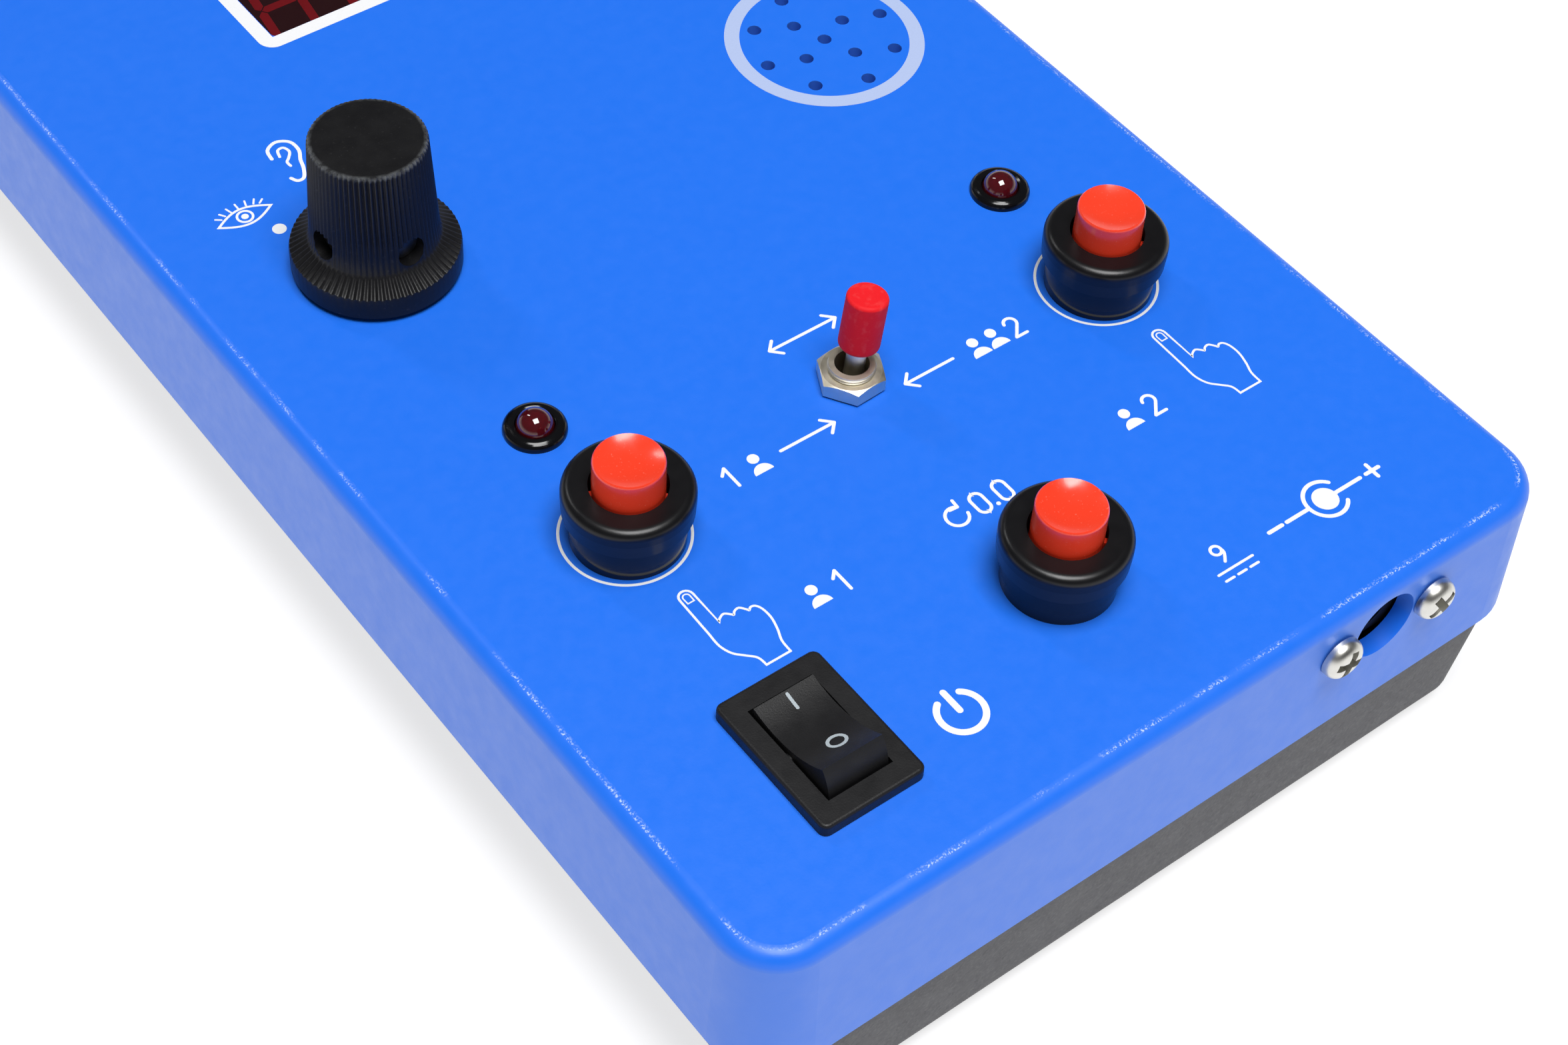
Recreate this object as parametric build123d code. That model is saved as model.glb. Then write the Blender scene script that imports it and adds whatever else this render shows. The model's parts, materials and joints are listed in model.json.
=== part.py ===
from build123d import *
import math
import os

# A tabletop quiz buzzer: a console with two players' push buttons, a reset button, a mode toggle,
# a rocker power switch, a rotary selector, a small loudspeaker and a four-digit display.
# Millimetres. X runs along the short side, Y from the players' edge to the far edge, +Z is up.
# The origin lies under the middle of the console, on the surface it stands on.

# ---------------------------------------------------------------- enclosure
SHELL_WIDTH = 126.2            # at the seam, where the shell is widest
SHELL_LENGTH = 220.6
SHELL_CENTRE_Y = 0.75          # leaves the jack's screw heads inside a box centred on the origin
SHELL_CORNER = 8.8
SHELL_DRAFT = 2.43             # degrees
SHELL_HEIGHT = 21.2
SHELL_TOP_ROUND = 2.3
WALL = 2.5
FOOT_HEIGHT = 1.9
BASE_HEIGHT = 16.4
SEAM = FOOT_HEIGHT + BASE_HEIGHT
PANEL = SEAM + SHELL_HEIGHT    # the top of the control panel
PANEL_UNDER = PANEL - WALL
FLOOR = FOOT_HEIGHT + WALL

BASE_SEAM_SIZE = (121.0, 218.6)
BASE_FOOT_SIZE = (114.8, 217.6)
BASE_CORNER = 5.6
BASE_ROUND = 2.2
TONGUE_HEIGHT = 2.0
TONGUE_OUTER = (120.7, 215.1)
TONGUE_INNER = (117.0, 211.0)
TONGUE_CORNER = 6.4
BASE_CAVITY_SIZE = (112.0, 210.0)

CASE_POSTS = [(x, y) for x in (-52.0, 52.0) for y in (-97.0, 98.4)]
CASE_POST_RADIUS = 4.0
CASE_SCREW_RADIUS = 1.45
CASE_SCREW_HOLE = 1.5
CASE_HEAD_RADIUS = 2.8
CASE_HEAD_RECESS = 3.3
CASE_HEAD_HEIGHT = 1.8
FOOT_RADIUS = 5.5
FEET = [(x, y) for x in (-44.0, 44.0) for y in (-82.0, 84.0)]

# ---------------------------------------------------------------- push buttons
BUTTONS = {"user_1": (-37.5, -49.3), "user_2": (37.8, -49.35), "reset": (0.6, -84.3)}
DRUM_RADIUS = 7.15             # the round lock nut between panel and collar
DRUM_HEIGHT = 5.1
COLLAR_RADIUS = 8.15
COLLAR_FOOT_RADIUS = 8.05
COLLAR_TOP = 9.2
COLLAR_ROUND = 1.2
COLLAR_WIDEST = 7.0            # level of the collar's largest radius
COLLAR_BORE = 4.85
NECK_RADIUS = 5.9
NECK_END = -9.0
NECK_HOLE = 6.0
COLLAR_FLOOR_TOP = -1.0
COLLAR_FLOOR_END = -2.2
KEYWAY = (1.3, 0.5)            # width and depth of the two slots that keep the cap in and straight
KEYWAY_TOP = 7.7
KEY_TURN = -37.0               # degrees from the X axis
KEY_GAP = 0.25
CAP_RADIUS = 4.5
CAP_TOP_RADIUS = 4.4
CAP_TOP = 13.5
CAP_UNDER = 5.5
CAP_DISH = 0.9
STEM_RADIUS = 2.0
STEM_HOLE = 2.3
STEM_END = -10.5
BUTTON_TRAVEL = 2.0
SPRING_RADIUS = 3.4
SPRING_WIRE = 0.28
SPRING_TURNS = 4.5
BACK_NUT = (8.2, -5.3, -2.5)   # half width over corners, then its lowest and highest level
SWITCH_RADIUS = 5.6
SWITCH_END = -17.0
LUG = (2.0, 0.5, 5.0)          # width, thickness and length of a solder lug

# ---------------------------------------------------------------- indicator lamps
LAMPS = {"led_1": (-37.15, -29.0), "led_2": (38.2, -28.8)}
LAMP_BEZEL_RADIUS = 4.08
LAMP_BEZEL_EDGE = 0.3
LAMP_BEZEL_TOP = 1.25
LAMP_BEZEL_LIP = 2.85          # radius at which the bezel is highest
LAMP_RADIUS = 2.5
LAMP_TOP = 3.0
LAMP_NECK = 3.3
LAMP_HOLE = 3.4
LAMP_BORE = 2.55
LAMP_SEAT = -5.0

# ---------------------------------------------------------------- mode toggle
TOGGLE = (0.0, -44.8)
TOGGLE_TILT = 5.5              # degrees either side of upright
TOGGLE_PIVOT = -2.0            # below the panel's top
TOGGLE_BUSH_RADIUS = 3.0
TOGGLE_BUSH_TOP = 3.4
TOGGLE_BORE = 2.25
TOGGLE_HOLE = 3.1
TOGGLE_NUT_FLATS = 8.0
TOGGLE_NUT_TURN = 3.0
TOGGLE_NUT_TOP = 2.4
TOGGLE_WASHER = (3.95, 0.3)     # radius and thickness
TOGGLE_LEVER_RADIUS = 1.3
TOGGLE_BALL_RADIUS = 2.0
SLEEVE_RADIUS = 2.7
SLEEVE_LOW = 8.2               # measured from the pivot along the lever
SLEEVE_HIGH = 16.5
TOGGLE_BODY = (13.2, 8.0, 9.6)
TOGGLE_PLATE = 0.8

# ---------------------------------------------------------------- power rocker
ROCKER = (-37.9, -87.2)
ROCKER_BEZEL = (14.8, 20.8)
ROCKER_BEZEL_TOP = 1.8
ROCKER_CORNER = 1.1
ROCKER_BODY = (13.0, 19.2)
ROCKER_BODY_END = -12.5
ROCKER_OPENING = (9.2, 15.0)
ROCKER_CAVITY_END = -6.5
ROCKER_PIVOT = 0.6
ROCKER_TILT = 11.0             # degrees either side of level
PADDLE_WIDTH = 8.5
PADDLE_RADIUS = 7.2
PADDLE_EDGE = 3.4              # height of the two finger edges above the pivot
PADDLE_MIDDLE = 1.8
TRUNNION_RADIUS = 0.9
TRUNNION_HOLE = 0.96
TRUNNION_REACH = 5.6
CUTOUT_GAP = 0.3

# ---------------------------------------------------------------- rotary selector
KNOB = (-37.5, 6.7)
KNOB_LOW = 0.6
KNOB_SKIRT_RADIUS = 11.1
KNOB_SKIRT_TOP = 4.1
KNOB_BODY_RADIUS = 8.4
KNOB_SHOULDER = 5.9
KNOB_TOP_RADIUS = 7.6
KNOB_TOP = 21.5
KNOB_BORE = 3.03
GRUB_HEIGHT = 8.1
GRUB_ANGLES = (-86.0, -175.0)
GRUB_HOLE = 2.0
GRUB_RADIUS = 1.9
GRUB_OUTER = 6.6               # distance of a grub screw's outer end from the knob's axis
GRUB_SOCKET = (1.0, 1.6)       # corner radius and depth of its six-sided socket
SHAFT_RADIUS = 3.0
ROTARY_BUSH_RADIUS = 4.5
ROTARY_BUSH_TOP = 4.2
ROTARY_BORE = 3.06
ROTARY_HOLE = 4.6
ROTARY_NUT = (6.9, 0.0, 2.2)
ROTARY_BODY_RADIUS = 13.0
ROTARY_BODY_END = -12.0

# ---------------------------------------------------------------- loudspeaker
SPEAKER = (37.8, 9.1)
SPEAKER_HOLE = 1.0
SPEAKER_INNER_RING = (5.0, 4, 22.0)    # radius, count and first angle of the inner holes
SPEAKER_OUTER_RING = (10.0, 8, 0.0)
SPEAKER_FRAME_RADIUS = 14.5
SPEAKER_FRAME_END = -6.5
SPEAKER_MAGNET_RADIUS = 8.5
SPEAKER_MAGNET_END = -10.5

# ---------------------------------------------------------------- display and circuit board
DISPLAY = (0.0, 62.4)
WINDOW = (51.5, 19.8)
WINDOW_TOP = -0.5
WINDOW_FLANGE = (55.5, 23.8, 1.2)
MODULE = (50.3, 19.0)
MODULE_TOP = -4.0
BOARD = (92.0, 58.0)
BOARD_CENTRE_Y = 67.0
BOARD_TOP = PANEL - 12.3
BOARD_THICK = 1.6
BOARD_POSTS = [(x, y) for x in (-42.0, 42.0) for y in (42.0, 92.0)]
BOARD_POST_RADIUS = 2.8
BOARD_SCREW_RADIUS = 1.05
BOARD_SCREW_HOLE = 1.15

# ---------------------------------------------------------------- power socket in the front wall
SOCKET_X = 33.3
SOCKET_Z = PANEL - 7.4
SOCKET_HOLE = 4.9
SOCKET_SCREW_SPACING = 16.0
SOCKET_SCREW_Z = PANEL - 7.2
SOCKET_HEAD_RADIUS = 2.9
SOCKET_HEAD_HEIGHT = 2.0
SOCKET_HEAD_ROUND = 1.5
SOCKET_RECESS = (4.2, 1.5, 1.15)         # span, depth and width of the cross
SOCKET_TURNS = {-1: 15.0, 1: 55.0}       # how far each screw happens to be turned
SOCKET_SCREW_RADIUS = 1.45
SOCKET_BORE = 3.1
SOCKET_PIN_RADIUS = 1.0
SOCKET_DEPTH = 14.0
SOCKET_FLANGE = (23.0, 8.6, 1.6)
WALL_INSET = math.tan(math.radians(SHELL_DRAFT)) * (SOCKET_Z - SEAM)
WALL_OUTSIDE = SHELL_CENTRE_Y - SHELL_LENGTH / 2 + WALL_INSET
WALL_INSIDE = WALL_OUTSIDE + WALL + 0.3
SOCKET_HEAD_SEAT = WALL_OUTSIDE - 0.15    # clears the wall's draught


# ================================================================ small helpers
def rod(radius, low, high, x=0.0, y=0.0):
    """An upright cylinder between two levels."""
    return Pos(x, y, (low + high) / 2) * Cylinder(radius, high - low)


def ring(outer, inner, low, high, x=0.0, y=0.0):
    """An upright tube between two levels."""
    return rod(outer, low, high, x, y) - rod(inner, low - 1, high + 1, x, y)


def slab(size, low, high, x=0.0, y=0.0, corner=0.0):
    """An upright block between two levels, with rounded vertical corners if asked."""
    outline = RectangleRounded(size[0], size[1], corner) if corner else Rectangle(size[0], size[1])
    return Pos(x, y, low) * extrude(outline, high - low)


def hexagon(corner_radius, low, high, turn=0.0):
    """An upright six-sided block."""
    return Pos(0, 0, low) * extrude(Rot(0, 0, turn) * RegularPolygon(corner_radius, 6), high - low)


def turned(points):
    """A solid turned about Z from (radius, level) points."""
    face = make_face(Plane.XZ * Polyline(*points, close=True))
    return revolve(face, Axis.Z)


def on_panel(shape, place):
    """Moves a shape modelled about the panel's top to its place on the panel."""
    return Pos(place[0], place[1], PANEL) * shape


def circle_points(radius, count, first):
    """Evenly spaced points on a circle."""
    angles = [math.radians(first + 360 * i / count) for i in range(count)]
    return [(radius * math.cos(a), radius * math.sin(a)) for a in angles]


def save(shape, name):
    export_step(shape, f"parts/{name}.step")


# ================================================================ enclosure
def draughted(width, length, corner, low, high):
    outline = RectangleRounded(width, length, corner)
    return Pos(0, SHELL_CENTRE_Y, low) * extrude(outline, high - low, taper=SHELL_DRAFT)


def front_rod(radius, near, far, x, z):
    """A cylinder along Y, through the front wall."""
    return Pos(x, (near + far) / 2, z) * Rot(90, 0, 0) * Cylinder(radius, far - near)


def panel_openings():
    cuts = [rod(NECK_HOLE, PANEL_UNDER - 1, PANEL + 1, x, y) for x, y in BUTTONS.values()]
    cuts += [rod(LAMP_HOLE, PANEL_UNDER - 1, PANEL + 1, x, y) for x, y in LAMPS.values()]
    cuts.append(rod(TOGGLE_HOLE, PANEL_UNDER - 1, PANEL + 1, *TOGGLE))
    cuts.append(rod(ROTARY_HOLE, PANEL_UNDER - 1, PANEL + 1, *KNOB))
    cutout = (ROCKER_BODY[0] + CUTOUT_GAP, ROCKER_BODY[1] + CUTOUT_GAP)
    cuts.append(slab(cutout, PANEL_UNDER - 1, PANEL + 1, *ROCKER))
    cuts.append(slab(WINDOW, PANEL_UNDER - 1, PANEL + 1, *DISPLAY, corner=0.6))
    holes = [(0.0, 0.0)] + circle_points(*SPEAKER_INNER_RING) + circle_points(*SPEAKER_OUTER_RING)
    for x, y in holes:
        cuts.append(rod(SPEAKER_HOLE, PANEL_UNDER - 1, PANEL + 1, SPEAKER[0] + x, SPEAKER[1] + y))
    return cuts


def socket_openings():
    near, far = WALL_OUTSIDE - 3, WALL_OUTSIDE + 5
    cuts = [front_rod(SOCKET_HOLE, near, far, SOCKET_X, SOCKET_Z)]
    for side in (-1, 1):
        x = SOCKET_X + side * SOCKET_SCREW_SPACING / 2
        cuts.append(front_rod(SOCKET_SCREW_RADIUS + 0.1, near, far, x, SOCKET_SCREW_Z))
    return cuts


def top_shell():
    outside = draughted(SHELL_WIDTH, SHELL_LENGTH, SHELL_CORNER, SEAM, PANEL)
    outside = fillet(outside.faces().sort_by(Axis.Z)[-1].edges(), SHELL_TOP_ROUND)
    inside = draughted(SHELL_WIDTH - 2 * WALL, SHELL_LENGTH - 2 * WALL, SHELL_CORNER - WALL,
                       SEAM, PANEL_UNDER)
    shell = outside - inside
    for x, y in CASE_POSTS:
        shell += rod(CASE_POST_RADIUS, SEAM, PANEL_UNDER + 1, x, y)
    for x, y in BOARD_POSTS:
        shell += rod(BOARD_POST_RADIUS, BOARD_TOP, PANEL_UNDER + 1, x, y)
    for cut in panel_openings() + socket_openings():
        shell -= cut
    for x, y in CASE_POSTS:
        shell -= rod(CASE_SCREW_HOLE, SEAM - 1, SEAM + 13, x, y)
    for x, y in BOARD_POSTS:
        shell -= rod(BOARD_SCREW_HOLE, BOARD_TOP - 1, BOARD_TOP + 8, x, y)
    return shell


def base_shell():
    seam = Pos(0, SHELL_CENTRE_Y, SEAM) * RectangleRounded(*BASE_SEAM_SIZE, BASE_CORNER)
    foot = Pos(0, SHELL_CENTRE_Y, FOOT_HEIGHT) * RectangleRounded(*BASE_FOOT_SIZE, BASE_CORNER)
    outside = loft([foot, seam])
    outside = fillet(outside.faces().sort_by(Axis.Z)[0].edges(), BASE_ROUND)
    rim = slab(TONGUE_OUTER, SEAM - 1, SEAM + TONGUE_HEIGHT, 0, SHELL_CENTRE_Y, TONGUE_CORNER)
    cavity_top = Pos(0, SHELL_CENTRE_Y, SEAM + TONGUE_HEIGHT + 1)
    cavity_low = Pos(0, SHELL_CENTRE_Y, FLOOR)
    cavity = loft([cavity_low * RectangleRounded(*BASE_CAVITY_SIZE, 4),
                   cavity_top * RectangleRounded(*TONGUE_INNER, 4)])
    base = outside + rim - cavity
    for x, y in CASE_POSTS:
        base += rod(CASE_POST_RADIUS + 0.5, FLOOR - 0.5, SEAM, x, y)
    for x, y in CASE_POSTS:
        base -= rod(CASE_SCREW_HOLE, FOOT_HEIGHT - 1, SEAM + 1, x, y)
        base -= rod(CASE_HEAD_RECESS, FOOT_HEIGHT - 1, FLOOR, x, y)
    return base


def case_screws():
    screws = []
    for x, y in CASE_POSTS:
        screw = rod(CASE_HEAD_RADIUS, FLOOR - CASE_HEAD_HEIGHT, FLOOR, x, y)
        screw += rod(CASE_SCREW_RADIUS, FLOOR - 0.5, SEAM + 8, x, y)
        screw -= Pos(x, y, FLOOR - CASE_HEAD_HEIGHT) * Box(3.4, 0.8, 2)
        screws.append(screw - Pos(x, y, FLOOR - CASE_HEAD_HEIGHT) * Box(0.8, 3.4, 2))
    return Compound(screws)


def rubber_feet():
    feet = []
    for x, y in FEET:
        foot = rod(FOOT_RADIUS, 0, FOOT_HEIGHT, x, y)
        feet.append(fillet(foot.faces().sort_by(Axis.Z)[0].edges(), 0.6))
    return Compound(feet)


# ================================================================ push buttons
def key_block(extra_width, extra_depth, low, high):
    """Two keys (or, when enlarged, their slots) on opposite sides of a cap."""
    width, depth = KEYWAY
    reach = COLLAR_BORE + depth + extra_depth
    block = Box(2 * reach, width + extra_width, high - low)
    return Pos(0, 0, (low + high) / 2) * Rot(0, 0, KEY_TURN) * block


def button_collar():
    body = turned([(COLLAR_FOOT_RADIUS, DRUM_HEIGHT), (COLLAR_RADIUS, COLLAR_WIDEST),
                   (COLLAR_RADIUS, COLLAR_TOP), (0, COLLAR_TOP), (0, DRUM_HEIGHT)])
    body = fillet(body.faces().sort_by(Axis.Z)[-1].edges(), COLLAR_ROUND)
    body += rod(NECK_RADIUS, NECK_END, DRUM_HEIGHT + 0.5)
    body -= rod(COLLAR_BORE, COLLAR_FLOOR_TOP, COLLAR_TOP + 1)
    body -= rod(STEM_HOLE, NECK_END - 1, COLLAR_FLOOR_TOP + 1)
    body -= rod(COLLAR_BORE, NECK_END - 1, COLLAR_FLOOR_END)
    return body - key_block(0, 0, CAP_UNDER - BUTTON_TRAVEL - 0.5, KEYWAY_TOP)


def button_lock_nut():
    return ring(DRUM_RADIUS, NECK_RADIUS + 0.05, 0, DRUM_HEIGHT)


def button_cap():
    body = turned([(CAP_RADIUS, CAP_UNDER), (CAP_TOP_RADIUS, CAP_TOP), (0, CAP_TOP), (0, CAP_UNDER)])
    sag = (CAP_TOP_RADIUS ** 2 + CAP_DISH ** 2) / (2 * CAP_DISH)
    dish = Pos(0, 0, CAP_TOP + sag - CAP_DISH) * Sphere(sag)
    keys = key_block(-2 * KEY_GAP, -KEY_GAP, CAP_UNDER, KEYWAY_TOP - 0.5)
    body = fillet(body.faces().sort_by(Axis.Z)[-1].edges(), 0.5) - dish
    return body + keys + rod(STEM_RADIUS, STEM_END, CAP_UNDER + 0.5)


def button_spring():
    low, high = COLLAR_FLOOR_TOP + SPRING_WIRE + 0.02, CAP_UNDER - SPRING_WIRE - 0.02
    path = Helix(pitch=(high - low) / SPRING_TURNS, height=high - low, radius=SPRING_RADIUS)
    section = Plane(path @ 0, z_dir=path % 0) * Circle(SPRING_WIRE)
    return Pos(0, 0, low) * sweep(section, path)


def button_switch():
    body = rod(SWITCH_RADIUS, SWITCH_END, NECK_END)
    return body - rod(STEM_HOLE + 0.3, STEM_END - BUTTON_TRAVEL - 1, NECK_END + 1)


def lugs(places, top):
    width, thickness, length = LUG
    shapes = []
    for x, y in places:
        blade = Pos(x, y, top - length / 2) * Box(width, thickness, length)
        shapes.append(blade - Pos(x, y, top - length + 1.2) * Rot(90, 0, 0) * Cylinder(0.5, 2))
    return shapes


def button_back_nuts():
    nuts = []
    for x, y in BUTTONS.values():
        nut = hexagon(BACK_NUT[0], BACK_NUT[1], BACK_NUT[2]) - rod(NECK_RADIUS + 0.05, -9, 0)
        nuts.append(on_panel(nut, (x, y)))
    return Compound(nuts)


# ================================================================ indicator lamps
def lamp_bezel():
    profile = [(LAMP_BORE, LAMP_SEAT), (LAMP_NECK, LAMP_SEAT), (LAMP_NECK, 0), (LAMP_BEZEL_RADIUS, 0),
               (LAMP_BEZEL_RADIUS, LAMP_BEZEL_EDGE)]
    steps = 8
    for i in range(1, steps + 1):
        a = math.radians(90 * i / steps)
        profile.append((LAMP_BEZEL_LIP + (LAMP_BEZEL_RADIUS - LAMP_BEZEL_LIP) * math.cos(a),
                        LAMP_BEZEL_EDGE + (LAMP_BEZEL_TOP - LAMP_BEZEL_EDGE) * math.sin(a)))
    profile.append((LAMP_BORE, LAMP_BEZEL_TOP - 0.15))
    return turned(profile)


def lamp_body():
    body = rod(LAMP_RADIUS, LAMP_SEAT - 0.5, LAMP_TOP - LAMP_RADIUS)
    body += Pos(0, 0, LAMP_TOP - LAMP_RADIUS) * Sphere(LAMP_RADIUS)
    return body + rod(LAMP_RADIUS + 0.4, LAMP_SEAT - 1, LAMP_SEAT)


def lamp_leads():
    top, low = LAMP_SEAT - 1, LAMP_SEAT - 14
    return [Pos(x, 0, (top + low) / 2) * Box(0.5, 0.5, top - low) for x in (-1.27, 1.27)]


# ================================================================ mode toggle
def tilted(shape):
    """Leans a lever piece, modelled upright about the pivot, to the right-hand position."""
    return on_panel(Pos(0, 0, TOGGLE_PIVOT) * Rot(0, TOGGLE_TILT, 0) * shape, TOGGLE)


def toggle_lever():
    lever = Sphere(TOGGLE_BALL_RADIUS) + rod(TOGGLE_LEVER_RADIUS, 0, SLEEVE_HIGH - 1.2)
    return tilted(lever + rod(1.0, -4.5, 0))


def toggle_sleeve():
    sleeve = rod(SLEEVE_RADIUS, SLEEVE_LOW, SLEEVE_HIGH)
    for end, radius in ((-1, 0.5), (0, 0.6)):
        sleeve = fillet(sleeve.faces().sort_by(Axis.Z)[end].edges(), radius)
    return tilted(sleeve - rod(TOGGLE_LEVER_RADIUS, SLEEVE_LOW - 1, SLEEVE_HIGH - 1.2))


def toggle_bush():
    plate_low = -WALL - TOGGLE_PLATE
    bush = slab(TOGGLE_BODY[:2], plate_low, -WALL) + rod(TOGGLE_BUSH_RADIUS, -WALL, TOGGLE_BUSH_TOP)
    return on_panel(bush - rod(TOGGLE_BORE, plate_low - 1, TOGGLE_BUSH_TOP + 1), TOGGLE)


def toggle_nut():
    corner = TOGGLE_NUT_FLATS / math.sqrt(3)
    nut = hexagon(corner, TOGGLE_WASHER[1], TOGGLE_NUT_TOP, TOGGLE_NUT_TURN)
    cone_top = TOGGLE_NUT_FLATS / 2
    chamfering = turned([(0, 0), (corner + 1, 0), (corner + 1, TOGGLE_NUT_TOP - 0.9),
                         (cone_top - 0.1, TOGGLE_NUT_TOP), (0, TOGGLE_NUT_TOP)])
    return on_panel((nut & chamfering) - rod(TOGGLE_BUSH_RADIUS, -1, 5), TOGGLE)


def toggle_washer():
    return on_panel(ring(TOGGLE_WASHER[0], TOGGLE_BUSH_RADIUS + 0.05, 0, TOGGLE_WASHER[1]), TOGGLE)


def toggle_body():
    top = -WALL - TOGGLE_PLATE
    body = slab(TOGGLE_BODY[:2], top - TOGGLE_BODY[2], top)
    return on_panel(body - slab((6.4, 4.4), top - 5.0, top + 1), TOGGLE)


def toggle_terminals():
    top = -WALL - TOGGLE_PLATE - TOGGLE_BODY[2]
    return Compound([on_panel(lug, TOGGLE) for lug in lugs([(-4.7, 0), (0, 0), (4.7, 0)], top)])


# ================================================================ power rocker
def rocker_housing():
    bezel = slab(ROCKER_BEZEL, 0, ROCKER_BEZEL_TOP, corner=ROCKER_CORNER)
    bezel = fillet(bezel.faces().sort_by(Axis.Z)[-1].edges(), 0.45)
    body = bezel + slab(ROCKER_BODY, ROCKER_BODY_END, 0.5)
    body -= slab(ROCKER_OPENING, ROCKER_CAVITY_END, ROCKER_BEZEL_TOP + 1)
    bearing = Pos(0, 0, ROCKER_PIVOT) * Rot(0, 90, 0) * Cylinder(TRUNNION_HOLE, 2 * TRUNNION_REACH + 0.4)
    return on_panel(body - bearing, ROCKER)


def rocker_paddle():
    edge_y = math.sqrt(PADDLE_RADIUS ** 2 - PADDLE_EDGE ** 2)
    low = -PADDLE_RADIUS / 2
    low_y = math.sqrt(PADDLE_RADIUS ** 2 - low ** 2)
    top = ThreePointArc((-edge_y, PADDLE_EDGE), (0, PADDLE_MIDDLE), (edge_y, PADDLE_EDGE))
    far = ThreePointArc((edge_y, PADDLE_EDGE), (PADDLE_RADIUS, 0), (low_y, low))
    under = Line((low_y, low), (-low_y, low))
    near = ThreePointArc((-low_y, low), (-PADDLE_RADIUS, 0), (-edge_y, PADDLE_EDGE))
    outline = Plane.YZ * make_face([top, far, under, near])
    paddle = extrude(outline, PADDLE_WIDTH / 2, both=True)
    paddle += Rot(0, 90, 0) * Cylinder(TRUNNION_RADIUS, 2 * TRUNNION_REACH)
    return on_panel(Pos(0, 0, ROCKER_PIVOT) * Rot(-ROCKER_TILT, 0, 0) * paddle, ROCKER)


def rocker_terminals():
    blades = [Pos(0, y, ROCKER_BODY_END - 4) * Box(4.8, 0.8, 8) for y in (-5.0, 5.0)]
    holes = Rot(90, 0, 0) * Cylinder(0.7, 30)
    return Compound([on_panel(b - Pos(0, 0, ROCKER_BODY_END - 5.5) * holes, ROCKER) for b in blades])


# ================================================================ rotary selector
def grub_rod(radius, near, far, angle):
    placed = Rot(0, 0, angle) * Pos((near + far) / 2, 0, GRUB_HEIGHT) * Rot(0, 90, 0)
    return placed * Cylinder(radius, far - near)


def selector_knob():
    body = turned([(0, KNOB_LOW), (KNOB_SKIRT_RADIUS, KNOB_LOW), (KNOB_SKIRT_RADIUS, KNOB_SKIRT_TOP),
                   (KNOB_BODY_RADIUS, KNOB_SHOULDER), (KNOB_TOP_RADIUS, KNOB_TOP), (0, KNOB_TOP)])
    body -= rod(9.0, KNOB_LOW - 1, 3.4)
    body -= rod(5.0, KNOB_LOW, 4.9)
    body -= rod(KNOB_BORE, KNOB_LOW, 17.0)
    for angle in GRUB_ANGLES:
        body -= grub_rod(GRUB_HOLE, 2.0, 12.0, angle)
    return on_panel(body, KNOB)


def knob_grub_screws():
    screws = []
    for angle in GRUB_ANGLES:
        place = Rot(0, 0, angle) * Pos(GRUB_OUTER - GRUB_SOCKET[1], 0, GRUB_HEIGHT)
        socket = place * Plane.YZ * RegularPolygon(GRUB_SOCKET[0], 6)
        screw = grub_rod(GRUB_RADIUS, SHAFT_RADIUS + 0.05, GRUB_OUTER, angle)
        screws.append(on_panel(screw - extrude(socket, 3), KNOB))
    return Compound(screws)


def rotary_shaft():
    return on_panel(rod(SHAFT_RADIUS, -7.0, 16.0), KNOB)


def rotary_switch():
    body = rod(ROTARY_BODY_RADIUS, ROTARY_BODY_END, -WALL)
    body += rod(ROTARY_BUSH_RADIUS, -WALL, ROTARY_BUSH_TOP)
    body -= rod(ROTARY_BORE, -7.5, ROTARY_BUSH_TOP + 1)
    return on_panel(body, KNOB)


def rotary_nut():
    corner, low, high = ROTARY_NUT
    return on_panel(hexagon(corner, low, high) - rod(ROTARY_BUSH_RADIUS, -1, 5), KNOB)


def rotary_terminals():
    return Compound([on_panel(lug, KNOB) for lug in lugs(circle_points(9.5, 6, 30), ROTARY_BODY_END)])


# ================================================================ loudspeaker
def speaker_frame():
    frame = ring(SPEAKER_FRAME_RADIUS, 12.5, -WALL - 1.0, -WALL)
    frame += turned([(12.5, -WALL - 1.0), (13.3, -WALL - 1.0), (9.3, SPEAKER_FRAME_END),
                     (SPEAKER_MAGNET_RADIUS - 3, SPEAKER_FRAME_END), (SPEAKER_MAGNET_RADIUS - 3, -6.0),
                     (8.9, -6.0)])
    return on_panel(frame, SPEAKER)


def speaker_cone():
    cone = turned([(12.4, -WALL - 0.6), (12.4, -WALL - 0.9), (4.0, -5.9), (0, -5.2), (0, -4.9),
                   (4.2, -5.5)])
    return on_panel(cone, SPEAKER)


def speaker_magnet():
    magnet = rod(SPEAKER_MAGNET_RADIUS, SPEAKER_MAGNET_END, SPEAKER_FRAME_END)
    return on_panel(chamfer(magnet.faces().sort_by(Axis.Z)[0].edges(), 0.5), SPEAKER)


# ================================================================ display and circuit board
def display_window():
    window = slab((WINDOW[0] - 0.2, WINDOW[1] - 0.2), -WALL - 0.3, WINDOW_TOP, corner=0.5)
    width, length, thick = WINDOW_FLANGE
    return on_panel(window + slab((width, length), -WALL - thick, -WALL, corner=1.0), DISPLAY)


def display_module():
    module = slab(MODULE, BOARD_TOP - PANEL, MODULE_TOP)
    return on_panel(module, DISPLAY)


def main_board():
    low, high = BOARD_TOP - BOARD_THICK, BOARD_TOP
    board = slab(BOARD, low, high, 0, BOARD_CENTRE_Y, 1.5)
    for x, y in BOARD_POSTS:
        board -= rod(BOARD_SCREW_HOLE + 0.15, low - 1, high + 1, x, y)
    return board


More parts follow.
